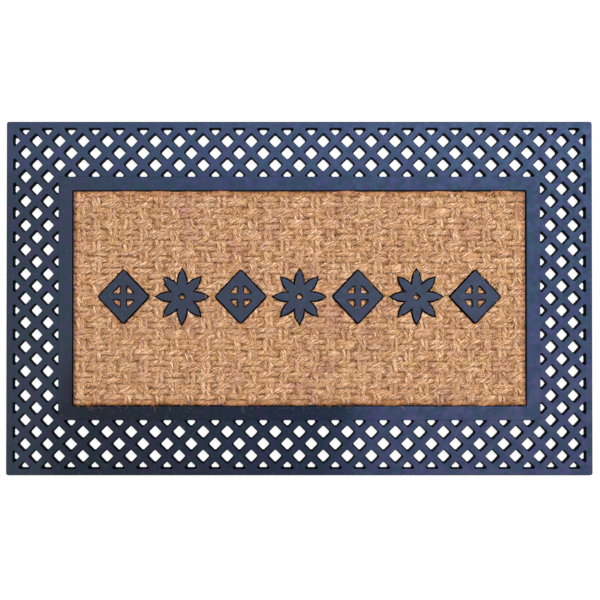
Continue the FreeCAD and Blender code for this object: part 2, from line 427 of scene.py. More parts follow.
def wandering(count, spacing, wavelength, size):
    """Smooth random values along a line, about one new value for each wavelength."""
    knots = rng.normal(0.0, size, int(count * spacing / wavelength) + 3)
    places = np.arange(count) * spacing / wavelength
    first = places.astype(int)
    share = places - first
    share = share * share * (3 - 2 * share)
    return knots[first] * (1 - share) + knots[first + 1] * share


def weave_wave(phase):
    """Rise and fall of a yarn through the weave: a cosine with flattened crests."""
    wave = np.cos(phase)
    return np.sign(wave) * np.abs(wave) ** WEAVE_FLATNESS


def sunk_at_edges(line):
    """A yarn's centre line, lowered near the edges of the panel."""
    low, high = COIR_CORNERS
    inside = np.minimum(line[:, :2] - low, high - line[:, :2]).min(axis=1)
    share = np.clip(inside / EDGE_SLOPE, 0, 1)
    sunk = line.copy()
    sunk[:, 2] -= EDGE_DROP * (1 - share) ** 2
    return sunk


def yarn_lines(lengthwise):
    """Centre lines of the weft yarns (lengthwise) or the warp yarns, as arrays of points."""
    middle = (COIR_LOW.z + COIR_HIGH.z) / 2 + WEAVE_LIFT
    if lengthwise:
        begin, end, crossing, sway_wavelength = COIR_LOW.x, COIR_HIGH.x, PAIR_PITCH, WEFT_SWAY_WAVELENGTH
        yarns = [(COIR_LOW.y + WEFT_PITCH * (row + 0.5), row // 2, 0) for row in range(WEFT_COUNT)]
    else:
        begin, end, crossing, sway_wavelength = COIR_LOW.y, COIR_HIGH.y, 2 * WEFT_PITCH, WARP_SWAY_WAVELENGTH
        yarns = [(COIR_LOW.x + PAIR_PITCH * (pair + 0.5) + side * WARP_SPACING, pair, 1)
                 for pair in range(WARP_PAIRS) for side in (-0.5, 0.5)]
    along = np.arange(begin, end, RING_SPACING)
    lines = []
    for across, turns, offset in yarns:
        phase = math.pi * ((along - begin) / crossing - 0.5 + turns + offset)
        rise = WEAVE_RISE * (1 + wandering(len(along), RING_SPACING, RISE_WAVELENGTH, WEAVE_UNEVENNESS))
        heights = middle + rise * weave_wave(phase)
        swayed = across + wandering(len(along), RING_SPACING, sway_wavelength, YARN_SWAY)
        flat = (along, swayed) if lengthwise else (swayed, along)
        lines.append(sunk_at_edges(np.stack([*flat, heights], axis=1)))
    return lines


def yarn_frame(line):
    """Directions along, across and up out of a yarn at each of its points."""
    tangent = np.gradient(line, axis=0)
    tangent /= np.linalg.norm(tangent, axis=1, keepdims=True)
    side = np.cross((0, 0, 1), tangent)
    side /= np.linalg.norm(side, axis=1, keepdims=True)
    return tangent, side, np.cross(tangent, side)


def tube_points(paths, flat_way, tall_way, radii, sides):
    """Rings of points round several paths, flattened by the lengths of the two given directions."""
    angles = np.arange(sides) * math.tau / sides
    ring = flat_way[:, :, None, :] * np.cos(angles)[None, None, :, None]
    ring = ring + tall_way[:, :, None, :] * np.sin(angles)[None, None, :, None]
    return paths[:, :, None, :] + radii[:, :, None, None] * ring


def tube_faces(paths, rings, sides):
    """Faces of closed tubes that follow each other in a list of points."""
    faces = []
    numbers = np.arange(rings * sides).reshape(rings, sides)
    after = np.roll(numbers, -1, axis=1)
    walls = np.stack([numbers[:-1], after[:-1], after[1:], numbers[1:]], axis=2).reshape(-1, 4)
    for path in range(paths):
        first = path * rings * sides
        faces += (walls + first).tolist()
        faces.append((numbers[0][::-1] + first).tolist())
        faces.append((numbers[-1] + first).tolist())
    return faces


def core_tube(line, half_width):
    """Points of the flattened tube at the heart of one yarn."""
    _, side, lift = yarn_frame(line)
    radii = np.full(len(line), CORE_SHARE)
    radii[[0, -1]] *= CORE_END_SHARE
    flat_way = side * half_width
    tall_way = -lift * YARN_HALF_HEIGHT
    return tube_points(line[None], flat_way[None], tall_way[None], radii[None], CORE_SIDES)[0]


def wrap_paths(line, half_width):
    """Paths of the short strands that the twist of one yarn brings over its top, with their outward ways."""
    length = (len(line) - 1) * RING_SPACING
    count = int(length / WRAP_SPACING)
    begin = (np.arange(count) + rng.uniform(-0.45, 0.45, count)) * WRAP_SPACING
    lay = WRAP_LAY * rng.uniform(0.55, 1.5, count)
    first = math.pi + rng.uniform(-0.5, 0.4, count)
    last = rng.uniform(-0.4, 0.5, count)
    share = np.linspace(0, 1, WRAP_RINGS)
    turn = first[:, None] + (last - first)[:, None] * share[None, :]
    along = begin[:, None] + lay[:, None] * (math.pi - turn) / math.tau
    along = np.clip(along + rng.normal(0, 0.35 * MM, along.shape), 0, length)
    places = np.arange(len(line)) * RING_SPACING
    _, side, lift = yarn_frame(line)
    across = [np.stack([np.interp(along, places, way[:, axis]) for axis in range(3)], axis=2)
              for way in (line, side, lift)]
    centre, side, lift = across
    wide = half_width * rng.uniform(0.7, 1.25, count)[:, None, None]
    tall = YARN_HALF_HEIGHT * rng.uniform(0.8, 1.3, count)[:, None, None]
    cosine = np.cos(turn)[:, :, None]
    sine = np.sin(turn)[:, :, None]
    paths = centre + side * wide * cosine + lift * tall * sine
    outward = side * cosine / wide + lift * sine / tall
    outward /= np.linalg.norm(outward, axis=2, keepdims=True)
    return paths, outward


def wrap_strands(line, half_width):
    """Points and material values of the visible wrapped strands of one yarn."""
    paths, outward = wrap_paths(line, half_width)
    weave_heights = line[:, 2]
    middle = (weave_heights.max() + weave_heights.min()) / 2
    swing = (weave_heights.max() - weave_heights.min()) / 2
    places = np.arange(len(line)) * RING_SPACING
    axis = int(np.argmax(np.abs(line[-1, :2] - line[0, :2])))
    reached = paths[:, WRAP_RINGS // 2, axis] - line[0, axis]
    level = (np.interp(reached, places, weave_heights) - middle) / swing
    shown = level > WRAP_HIDDEN_BELOW
    paths, outward = paths[shown], outward[shown]
    count = len(paths)
    run = np.gradient(paths, axis=1)
    run /= np.maximum(np.linalg.norm(run, axis=2, keepdims=True), 1e-9)
    around = np.cross(run, outward)
    around /= np.maximum(np.linalg.norm(around, axis=2, keepdims=True), 1e-9)
    taper = np.array([0.45, 0.9] + [1.0] * (WRAP_RINGS - 4) + [0.9, 0.45])
    radii = WRAP_RADIUS * rng.uniform(0.65, 1.25, count)[:, None] * taper[None, :]
    radii = radii * rng.uniform(0.88, 1.12, radii.shape)
    points = tube_points(paths, around, outward * WRAP_SQUASH, radii, WRAP_SIDES)
    angles = np.arange(WRAP_SIDES) * math.tau / WRAP_SIDES
    travelled = np.linspace(0, WRAP_RUN, WRAP_RINGS)
    shift = rng.uniform(0, 1, count)
    fibres = np.empty(points.shape)
    fibres[..., 0] = np.cos(angles)
    fibres[..., 1] = np.sin(angles)
    fibres[..., 2] = shift[:, None, None] + travelled[None, :, None]
    tints = np.empty(points.shape)
    tints[:] = rng.uniform(0, 1, (count, 3))[:, None, None, :]
    return points, fibres, tints


def woven_arrays(lines, half_width):
    """Points, faces and material values of the wrapped strands of several yarns."""
    parts = [wrap_strands(line, half_width) for line in lines]
    points, fibres, tints = (np.concatenate(values) for values in zip(*parts))
    faces = tube_faces(len(points), WRAP_RINGS, WRAP_SIDES)
    return points.reshape(-1, 3), faces, fibres.reshape(-1, 3), tints.reshape(-1, 3)


def core_arrays(lines, half_width):
    """Points and faces of the cores of several yarns."""
    points, faces = [], []
    first = 0
    for line in lines:
        ring = core_tube(line, half_width)
        points.append(ring.reshape(-1, 3))
        faces += [[corner + first for corner in face] for face in tube_faces(1, len(line), CORE_SIDES)]
        first += len(points[-1])
    return np.concatenate(points), faces


def inside_and_distance(points, outline):
    """Signed distance of flat points to an outline, negative inside it."""
    ahead = np.roll(outline, -1, axis=0)
    best = np.full(len(points), np.inf)
    crossings = np.zeros(len(points), int)
    for (ax, ay), (bx, by) in zip(outline, ahead):
        step = np.array([bx - ax, by - ay])
        offset = points - (ax, ay)
        share = np.clip(offset @ step / (step @ step), 0, 1)
        best = np.minimum(best, np.linalg.norm(offset - share[:, None] * step, axis=1))
        spans = (ay > points[:, 1]) != (by > points[:, 1])
        if ay != by:
            edge = ax + (points[:, 1] - ay) * (bx - ax) / (by - ay)
            crossings += spans & (points[:, 0] < edge)
    return np.where(crossings % 2 == 1, -best, best)


def motif_distance(points):
    """Signed distance of each point to the nearest motif's rubber, up to PRESS_REACH: negative under it."""
    distance = np.full(len(points), PRESS_REACH)
    flat = points[:, :2]
    for outlines in MOTIF_OUTLINES:
        outer = outlines[0]
        near = np.all((flat > outer.min(0) - PRESS_REACH) & (flat < outer.max(0) + PRESS_REACH), axis=1)
        here = inside_and_distance(flat[near], outer)
        for hole in outlines[1:]:
            here = np.maximum(here, -inside_and_distance(flat[near], hole))
        distance[near] = np.minimum(distance[near], here)
    return distance


def pressed_under_motifs(points):
    """Yarn points with those under a motif pressed down to its floor, and sloping down towards it."""
    distance = motif_distance(points)
    share = np.clip(distance / PRESS_REACH, 0, 1)
    share = share * share * (3 - 2 * share)
    under = (MOTIF_FLOOR - 0.2 * MM - COIR_LOW.z) / (YARN_CREST - COIR_LOW.z)
    squeezed = under + (1 - under) * share
    pressed = points.copy()
    pressed[:, 2] = COIR_LOW.z + (points[:, 2] - COIR_LOW.z) * squeezed
    return pressed


class HeightMap:
    """Heights of the woven surface on a regular grid, for laying fibres on it."""

    def __init__(self, points, faces):
        tree = BVHTree.FromPolygons(points.tolist(), faces)
        self.columns = int((COIR_HIGH.x - COIR_LOW.x) / HEIGHT_CELL) + 1
        self.rows = int((COIR_HIGH.y - COIR_LOW.y) / HEIGHT_CELL) + 1
        self.values = np.full((self.columns, self.rows), GROUND_TOP)
        down = Vector((0, 0, -1))
        for column in range(self.columns):
            for row in range(self.rows):
                x = COIR_LOW.x + column * HEIGHT_CELL
                y = COIR_LOW.y + row * HEIGHT_CELL
                hit = tree.ray_cast(Vector((x, y, RAY_START)), down)[0]
                if hit:
                    self.values[column, row] = hit.z

    def at(self, places):
        """Height at each place, by the nearest corners of the grid."""
        columns = np.clip((places[..., 0] - COIR_LOW.x) / HEIGHT_CELL, 0, self.columns - 1.001)
        rows = np.clip((places[..., 1] - COIR_LOW.y) / HEIGHT_CELL, 0, self.rows - 1.001)
        left = columns.astype(int)
        low = rows.astype(int)
        across = columns - left
        up = rows - low
        near = self.values[left, low] * (1 - across) + self.values[left + 1, low] * across
        far = self.values[left, low + 1] * (1 - across) + self.values[left + 1, low + 1] * across
        return near * (1 - up) + far * up


def weft_is_on_top(places):
    """Whether the weft passes over the warp at each place of the weave."""
    pair = np.floor((places[..., 1] - COIR_LOW.y) / (2 * WEFT_PITCH))
    phase = math.pi * ((places[..., 0] - COIR_LOW.x) / PAIR_PITCH - 0.5 + pair)
    return np.cos(phase) > WEFT_ON_TOP_ABOVE


def lying_paths(starts, headings, lengths, bend):
    """Curved level paths through each start, that bend a little about their heading."""
    count = len(starts)
    turning = rng.normal(0, bend, count)
    wave = rng.normal(0, 0.4 * bend, (count, FIBRE_POINTS))
    share = np.linspace(-0.5, 0.5, FIBRE_POINTS)
    angles = headings[:, None] + turning[:, None] * share[None, :] + wave
    step = lengths / (FIBRE_POINTS - 1)
    moves = np.stack([np.cos(angles), np.sin(angles)], axis=2) * step[:, None, None]
    paths = starts[:, None, :] + np.cumsum(moves, axis=1)
    return paths - moves.sum(axis=1, keepdims=True) / 2


def fibre_mesh(paths, radii, sides):
    """Thin tapered tubes along paths of points: points, faces and tints."""
    tangent = np.gradient(paths, axis=1)
    tangent /= np.linalg.norm(tangent, axis=2, keepdims=True)
    side = np.cross((0, 0, 1), tangent)
    side /= np.linalg.norm(side, axis=2, keepdims=True)
    lift = np.cross(tangent, side)
    taper = np.array([0.4, 0.9] + [1.0] * (FIBRE_POINTS - 4) + [0.9, 0.35])
    points = tube_points(paths, side, -lift * TUFT_SQUASH, radii[:, None] * taper[None, :], sides)
    faces = tube_faces(len(paths), FIBRE_POINTS, sides)
    tints = np.repeat(rng.uniform(0, 1, (len(paths), 3)), FIBRE_POINTS * sides, axis=0)
    return points.reshape(-1, 3), faces, tints


def along_the_weave(starts, spread):
    """Headings along the strands that lie on top at each start, with some in any direction."""
    count = len(starts)
    headings = np.where(weft_is_on_top(starts), WEFT_HEADING, WARP_HEADING)
    headings = headings + rng.normal(0, spread, count)
    wild = rng.uniform(0, 1, count) < WILD_SHARE
    return np.where(wild, rng.uniform(0, math.pi, count), headings)


def laid_on_surface(flat, surface, sink, lift):
    """Heights for level paths that lie on the weave, bridging its hollows.

    Their ends are sunk into it, and their middles are lifted a little."""
    arc = np.sin(np.linspace(0, math.pi, FIBRE_POINTS))
    rise = rng.uniform(0, 1, len(flat)) ** 3 * lift
    heights = surface.at(flat)
    heights = np.maximum(heights, heights.mean(axis=1, keepdims=True)) + arc[None, :] * rise[:, None]
    heights[:, [0, -1]] -= sink
    return heights


def hairiness(places):
    """How thickly the tufts lie at each place, from 0 to 1, as a patchy sum of random waves."""
    total = np.zeros(len(places))
    for _ in range(PATCH_WAVES):
        heading, phase = rng.uniform(0, math.tau, 2)
        length = rng.uniform(*PATCH_LENGTHS)
        along = places @ (math.cos(heading), math.sin(heading))
        total += np.cos(math.tau * along / length + phase)
    return np.clip(0.7 + 0.5 * total / math.sqrt(PATCH_WAVES), 0.2, 1)


def tufts(surface):
    """Paths and radii of the tangled bundles, which stay between the frame and the motifs."""
    low = COIR_CORNERS[0] + 1 * MM
    high = COIR_CORNERS[1] - 1 * MM
    starts = rng.uniform(low, high, (TUFT_COUNT, 2))
    headings = along_the_weave(starts, spread=0.45)
    lengths = rng.uniform(*TUFT_LENGTHS, TUFT_COUNT)
    flat = lying_paths(starts, headings, lengths, bend=0.5)
    over_motif = motif_distance(flat.reshape(-1, 2)).reshape(flat.shape[:2])
    keep = np.all((flat > low) & (flat < high), axis=(1, 2)) & np.all(over_motif > TUFT_CLEARANCE, axis=1)
    keep &= rng.uniform(0, 1, TUFT_COUNT) < hairiness(starts)
    flat = flat[keep]
    heights = laid_on_surface(flat, surface, sink=0.4 * MM, lift=0.5 * MM) + TUFT_LIFT
    radii = TUFT_RADIUS * rng.uniform(0.7, 1.3, len(flat))
    return np.concatenate([flat, heights[..., None]], axis=2), radii


def loose_fibres(surface):
    """Paths and radii of the fibres that lie over the yarns, with a few straying over the rubber."""
    low, high = COIR_CORNERS
    starts = rng.uniform(low + 2 * MM, high - 2 * MM, (FIBRE_COUNT, 2))
    headings = along_the_weave(starts, spread=0.4)
    reach = rng.uniform(0, 1, FIBRE_COUNT) ** 2
    lengths = FIBRE_LENGTHS[0] + (FIBRE_LENGTHS[1] - FIBRE_LENGTHS[0]) * reach
    strays = slice(0, STRAY_FIBRES)
    starts[strays, 1] = low[1] + rng.uniform(-3 * MM, 3 * MM, STRAY_FIBRES)
    headings[strays] = rng.normal(STRAY_HEADING, 0.6, STRAY_FIBRES)
    lengths[strays] = rng.uniform(*STRAY_LENGTHS, STRAY_FIBRES)
    flat = lying_paths(starts, headings, lengths, bend=0.9)
    outside = np.any((flat < low) | (flat > high), axis=(1, 2))
    outside[strays] = False
    over_motif = motif_distance(flat.reshape(-1, 2)).reshape(FIBRE_COUNT, FIBRE_POINTS)
    covered = np.any(over_motif < 0.4 * MM, axis=1)
    edge_of_motif = np.flatnonzero(covered & np.any(over_motif > 1 * MM, axis=1))
    covered[rng.permutation(edge_of_motif)[:STRAYS_OVER_MOTIFS]] = False
    grazing = np.all(over_motif > -GRAZE_REACH, axis=1) & (rng.uniform(0, 1, FIBRE_COUNT) < GRAZE_SHARE)
    covered &= ~grazing
    heights = laid_on_surface(flat, surface, sink=0.2 * MM, lift=1.4 * MM) + FIBRE_LIFT
    on_frame = flat[..., 1] < low[1] + 1 * MM
    heights = np.where(on_frame, np.maximum(heights, MAT_HIGH.z + LIP_HEIGHT + 0.15 * MM), heights)
    heights = np.where(over_motif < ON_MOTIF, MOTIF_TOP + 0.2 * MM, heights)
    paths = np.concatenate([flat, heights[..., None]], axis=2)
    radii = FIBRE_RADIUS * rng.uniform(0.6, 1.2, FIBRE_COUNT)
    radii[strays] *= STRAY_SHARE
    radii[np.any(over_motif < ON_MOTIF, axis=1)] *= STRAY_SHARE
    keep = ~(outside | covered)
    return paths[keep], radii[keep]


def ground_cloth(material):
    """The closed cloth under the yarns: two layers of a grid, with a gently swelling top."""
    columns = int((COIR_HIGH.x - COIR_LOW.x) / GROUND_CELL) + 1
    rows = int((COIR_HIGH.y - COIR_LOW.y) / GROUND_CELL) + 1
    xs = np.linspace(COIR_LOW.x, COIR_HIGH.x, columns)
    ys = np.linspace(COIR_LOW.y, COIR_HIGH.y, rows)
    x, y = np.meshgrid(xs, ys, indexing="ij")
    swell = rng.normal(0, 1, x.shape) * GROUND_SWELL / 2
    top = np.stack([x, y, GROUND_TOP + np.clip(swell, -GROUND_SWELL, GROUND_SWELL)], axis=2)
    bottom = np.stack([x, y, np.full(x.shape, COIR_LOW.z)], axis=2)
    points = np.concatenate([top.reshape(-1, 3), bottom.reshape(-1, 3)])
    number = np.arange(columns * rows).reshape(columns, rows)
    corners = np.stack([number[:-1, :-1], number[1:, :-1], number[1:, 1:], number[:-1, 1:]], axis=2)
    upper = corners.reshape(-1, 4)
    lower = upper[:, ::-1] + columns * rows
    rim = np.concatenate([number[:, 0], number[-1, 1:], number[-2::-1, -1], number[0, -2:0:-1]])
    beyond = np.roll(rim, -1)
    sides = np.stack([rim, rim + columns * rows, beyond + columns * rows, beyond], axis=1)
    faces = np.concatenate([upper, lower, sides])
    return new_piece("coir_ground", points.tolist(), faces.tolist(), material)


# ---- Materials ----


class Shading:
    """A material under construction. Inputs are given by name, as values or as sockets of other nodes."""

    def __init__(self, name):
        self.material = bpy.data.materials.new(name)
        self.material.use_nodes = True
        self.tree = self.material.node_tree
        self.tree.nodes.clear()
        self.output = self.add("ShaderNodeOutputMaterial")
        self.place = self.add("ShaderNodeTexCoord").outputs["Object"]
        self.normal = self.add("ShaderNodeTexCoord").outputs["Normal"]

    def add(self, kind, inputs=None, **settings):
        node = self.tree.nodes.new(kind)
        for key, value in settings.items():
            setattr(node, key, value)
        for key, value in (inputs or {}).items():
            if isinstance(value, bpy.types.NodeSocket):
                self.tree.links.new(value, node.inputs[key])
            else:
                node.inputs[key].default_value = value
        return node

    def math(self, operation, first, second=0.0, third=0.0):
        inputs = {0: first, 1: second, 2: third}
        return self.add("ShaderNodeMath", inputs, operation=operation).outputs[0]

    def product(self, first, *factors):
        for factor in factors:
            first = self.math("MULTIPLY", first, factor)
        return first

    def remap(self, value, low, high, to_low=0.0, to_high=1.0):
        inputs = {"Value": value, "From Min": low, "From Max": high, "To Min": to_low, "To Max": to_high}
        return self.add("ShaderNodeMapRange", inputs, interpolation_type="SMOOTHSTEP").outputs[0]

    def noise(self, size, detail=2.0, roughness=0.5, vector=None, offset=0.0, stretch=(1, 1, 1)):
        """Noise with features of about the given size in metres."""
        scaled = self.add("ShaderNodeMapping", {"Vector": vector or self.place, "Scale": stretch})
        scaled.inputs["Location"].default_value = (offset, offset * 0.7, offset * 0.3)
        inputs = {"Vector": scaled.outputs[0], "Scale": 1 / size, "Detail": detail, "Roughness": roughness}
        return self.add("ShaderNodeTexNoise", inputs).outputs["Fac"]

    def mix(self, share, first, second, blend="MIX"):
        node = self.add("ShaderNodeMix", data_type="RGBA", blend_type=blend)
        for socket, value in ((0, share), (6, first), (7, second)):
            if isinstance(value, bpy.types.NodeSocket):
                self.tree.links.new(value, node.inputs[socket])
            else:
                node.inputs[socket].default_value = value if socket == 0 else (*value, 1.0)
        return node.outputs[2]

    def scaled(self, color, factor):
        """A colour made lighter or darker by a factor."""
        grey = self.add("ShaderNodeCombineColor", {"Red": factor, "Green": factor, "Blue": factor})
        return self.mix(1.0, color, grey.outputs[0], blend="MULTIPLY")

    def darkened_warmer(self, color, factor):
        """A coir colour made lighter or darker by a factor, and warmer where it is darker, which paints the
        warmer shade deep in the fibres.
        """
        parts = {part: self.math("POWER", factor, power) for part, power in COIR_DARKENING_POWERS.items()}
        return self.mix(1.0, color, self.add("ShaderNodeCombineColor", parts).outputs[0], blend="MULTIPLY")

    def parts(self, vector):
        """The X, Y and Z of a vector."""
        return self.add("ShaderNodeSeparateXYZ", {0: vector}).outputs

    def distance(self, place):
        """How far the surface is from a place."""
        inputs = {0: self.place, 1: place}
        return self.add("ShaderNodeVectorMath", inputs, operation="DISTANCE").outputs["Value"]

    def attribute(self, name):
        """A vector kept at the mesh's points, whole and in parts."""
        vector = self.add("ShaderNodeAttribute", attribute_name=name).outputs["Vector"]
        return vector, self.parts(vector)

    def bump(self, height, distance, normal=None):
        inputs = {"Height": height, "Distance": distance, "Strength": 1.0}
        if normal is not None:
            inputs["Normal"] = normal
        return self.add("ShaderNodeBump", inputs).outputs[0]

    def finish(self, inputs):
        shader = self.add("ShaderNodeBsdfPrincipled", inputs)
        self.tree.links.new(shader.outputs[0], self.output.inputs[0])
        return self.material


def rubber(name, slate, violet, teal, wall_shade, shaded_end_colors=None, shaded_place_gloss=1.0):
    """Moulded rubber: cloudy shades, dust specks, fine grain, and walls darker and duller with painted shade.

    With shaded-end colours it also has painted shade: greyer towards its shaded end, and darker and duller
    round one place. It is violet where it is scuffed, and a painted sheen makes it bluer along its far side."""
    shading = Shading(name)
    cloud = shading.remap(shading.noise(9 * MM, detail=3), *CLOUD_LIMITS)
    drift = shading.remap(shading.noise(16 * MM, detail=3, offset=3.1), *CLOUD_LIMITS, 0.0, 0.7)
    color = shading.mix(drift, shading.mix(cloud, slate, violet), teal)
    # Painted shade: walls and rounded edges get a darker colour and less gloss, the steeper they face.
    facing = shading.parts(shading.normal)["Z"]
    level = shading.math("ABSOLUTE", facing)
    shade = shading.remap(level, 0.75, 0.995, wall_shade, 1.0)
    gloss = shading.product(shade, shade, RUBBER_GLOSS)
    if shaded_end_colors:
        # Painted shade: greyer colours towards one end, where the sheen falls off.
        sway = shading.math("MULTIPLY_ADD", shading.noise(90 * MM, detail=3, offset=1.7), 0.16, -0.08)
        across, along, _ = shading.parts(shading.place)
        slanted = shading.math("MULTIPLY_ADD", along, SHADED_END_SLANT, across)
        lit_end = shading.remap(shading.math("ADD", slanted, sway), *SHADED_END_REACH, LIT_END_AT_LEAST, 1.0)
        shaded_end = shading.mix(drift, shading.mix(cloud, *shaded_end_colors[:2]), shaded_end_colors[2])
        color = shading.mix(lit_end, shaded_end, color)
        # Painted shade: darker and less glossy round one place.
        away = shading.math("ADD", shading.distance(SHADED_PLACE), sway)
        kept = shading.remap(away, *SHADED_PLACE_REACH)
        color = shading.scaled(color, shading.remap(kept, 0.0, 1.0, SHADED_PLACE_LEVEL, 1.0))
        gloss = shading.product(gloss, shading.remap(kept, 0.0, 1.0, shaded_place_gloss, 1.0))
        near = shading.remap(shading.distance(SCUFFED_PLACE), *SCUFFED_REACH, 1.0, 0.0)
        patches = shading.noise(14 * MM, detail=4, offset=6.2)
        patches = shading.remap(patches, *CLOUD_LIMITS, 0.0, SCUFFED_SHARE)
        color = shading.mix(shading.product(patches, near), color, SCUFFED_COLOR)
        # Painted sheen: bluer along the far side.
        color = shading.mix(shading.remap(along, *PAINTED_SHEEN_REACH, 0.0, PAINTED_SHEEN_SHARE), color, PAINTED_SHEEN_COLOR)
    specks = shading.remap(shading.noise(0.9 * MM, detail=2, offset=7.7), 0.62, 0.8, 0.0, 0.3)
    scuffs = shading.remap(shading.noise(5 * MM, detail=4, roughness=0.7, offset=1.3), 0.52, 0.8, 0.0, 0.35)
    color = shading.mix(shading.math("MAXIMUM", specks, scuffs), color, RUBBER_DUST)
    color = shading.scaled(color, shade)
    grain = shading.noise(0.7 * MM, detail=3, roughness=0.6)
    waves = shading.noise(18 * MM, detail=2, offset=5.0)
    normal = shading.bump(waves, 0.5 * MM)
    normal = shading.bump(grain, 0.06 * MM, normal)
    roughness = shading.remap(shading.noise(9 * MM, detail=3, offset=2.2), 0.3, 0.7, 0.5, 0.66)
    inputs = {"Base Color": color, "Roughness": roughness, "Normal": normal}
    inputs.update({"Specular IOR Level": gloss, "Specular Tint": RUBBER_SHEEN})
    return shading.finish(inputs)


def shaded_edges(shading):
    """Factor that darkens the coir along the frame."""
    across, along, _ = shading.parts(shading.place)
    factors = []
    for position, reach in ((across, COIR_HIGH.x), (along, COIR_HIGH.y)):
        distance = shading.math("ABSOLUTE", position)
        factors.append(shading.remap(distance, reach - EDGE_SHADE_REACH, reach, 1.0, EDGE_SHADE))
    return shading.math("MINIMUM", *factors)


def shaded_sides(shading):
    """Factor that darkens the steep sides of the strands."""
    facing = shading.parts(shading.normal)["Z"]
    return shading.remap(facing, 0.1, 0.9, SIDE_SHADE, 1.08)


def coir_yarn(name):
    """Twisted coconut fibre: tinted strands, streaks along the fibres, and painted shade in the depths of the
    weave.
    """
    shading = Shading(name)
    fibre, _ = shading.attribute("fibre")
    _, tint = shading.attribute("tint")
    patch = shading.noise(34 * MM, detail=4, roughness=0.65)
    other = shading.noise(45 * MM, detail=4, roughness=0.65, offset=9.3)
    color = shading.mix(tint[2], COIR_TAN, COIR_STRAW)
    color = shading.mix(shading.remap(patch, 0.51, 0.66, 0.0, 0.75), color, COIR_MAUVE)
    color = shading.mix(shading.remap(other, 0.56, 0.7, 0.0, 0.6), color, COIR_OLIVE)
    # Painted shade: dark umber specks stand in for the small gaps between the fibres.
    specks = shading.noise(1.5 * MM, detail=2, roughness=0.6, offset=5.5)
    color = shading.mix(shading.remap(specks, 0.585, 0.63, 0.0, 0.9), color, COIR_UMBER)
    streak_size = (1, 1, 60)
    streaks = shading.noise(0.55, detail=3, roughness=0.65, vector=fibre, stretch=streak_size)
    fine = shading.noise(0.25, detail=2, roughness=0.6, vector=fibre, stretch=streak_size, offset=4.0)
    light = shading.remap(streaks, *STREAK_LIMITS, 0.6, 1.17)
    thin = shading.remap(fine, *STREAK_LIMITS, 0.65, 1.17)
    strand = shading.remap(tint[2], 0.0, 1.0, 0.78, 1.07)
    # Painted shade: darker the deeper the surface lies in the weave, a little lighter on its crests.
    depth = shading.remap(shading.parts(shading.place)["Z"], COIR_DEEP, COIR_CREST, 0.64, 1.08)
    shades = (shaded_edges(shading), shaded_sides(shading))
    color = shading.darkened_warmer(color, shading.product(light, thin, strand, *shades, depth))
    normal = shading.bump(streaks, 0.3 * MM)
    inputs = {"Base Color": color, "Roughness": 0.85, "Normal": normal, "Specular IOR Level": 0.3}
    return shading.finish(inputs)


def coir_core(name):
    """Inside of a yarn, seen between its strands: mottled brown, in patches."""
    shading = Shading(name)
    patch = shading.remap(shading.noise(9 * MM, detail=3), 0.35, 0.65)
    color = shading.mix(patch, COIR_BROWN, COIR_MAUVE)
    mottle = shading.noise(0.9 * MM, detail=2)
    color = shading.darkened_warmer(color, shading.remap(mottle, 0.3, 0.7, 0.6, 1.3))
    return shading.finish({"Base Color": color, "Roughness": 0.95, "Normal": shading.bump(mottle, 0.3 * MM)})


def coir_fibre(name):
    """Tufts and loose fibres: each its own shade, from straw to dark brown."""
    shading = Shading(name)
    _, tint = shading.attribute("tint")
    color = shading.mix(tint[2], COIR_TAN, COIR_STRAW)
    color = shading.mix(shading.remap(tint[1], 0.6, 0.85, 0.0, 0.95), color, COIR_BROWN)
    # The darkest, umber fibres are partly dark fibres and partly painted shade for the small gaps between the
    # fibres.
    color = shading.mix(shading.remap(tint[1], 0.8, 0.86), color, COIR_UMBER)
    light = shading.remap(shading.noise(4 * MM, detail=2), 0.3, 0.7, 0.75, 1.2)
    strand = shading.remap(tint[2], 0.0, 1.0, 0.6, 1.03)
    shades = (shaded_edges(shading), shaded_sides(shading))
    color = shading.darkened_warmer(color, shading.product(light, strand, *shades))
    inputs = {"Base Color": color, "Roughness": 0.7, "Specular IOR Level": 0.4}
    return shading.finish(inputs)


def coir_cloth(name):
    """The cloth deep in the weave, mottled from brown to the dark of painted shadow."""
    shading = Shading(name)
    mottle = shading.noise(5 * MM, detail=4, roughness=0.7)
    threads = shading.noise(0.8 * MM, detail=2, stretch=(1, 4, 1))
    color = shading.mix(shading.remap(mottle, 0.35, 0.65), COIR_BROWN, COIR_SHADOW)
    color = shading.scaled(color, shading.remap(threads, 0.3, 0.7, 0.6, 1.3))
    return shading.finish({"Base Color": color, "Roughness": 0.95, "Normal": shading.bump(threads, 0.4 * MM)})


def latex(name):
    """Dried latex: cloudy straw colour, rough where it soaked into the cloth."""
    shading = Shading(name)
    cloud = shading.noise(12 * MM, detail=4, roughness=0.65)
    color = shading.mix(shading.remap(cloud, 0.3, 0.7), *LATEX_COLORS)
    pores = shading.noise(1.2 * MM, detail=3)
    roughness = shading.remap(cloud, 0.3, 0.7, 0.45, 0.75)
    inputs = {"Base Color": color, "Roughness": roughness, "Normal": shading.bump(pores, 0.2 * MM)}
    return shading.finish(inputs)


def studio_floor(name):
    """Plain floor of a dark colour, which gets nearly all its white from its own glow."""
    shading = Shading(name)
    soft = shading.noise(0.4, detail=1)
    color = shading.mix(soft, *FLOOR_COLORS)
    inputs = {"Base Color": color, "Roughness": 0.9, "Specular IOR Level": 0.1}
    inputs.update({"Emission Color": (1.0, 1.0, 1.0, 1.0), "Emission Strength": FLOOR_GLOW})
    return shading.finish(inputs)


# ---- The object ----

MOTIF_OUTLINES = []
for node in MOTIF_NODES:
    found = [thinned(outline) for outline in flat_outlines(nodes[node], MOTIF_TOP)]
    MOTIF_OUTLINES.append(sorted(found, key=enclosed_area, reverse=True))

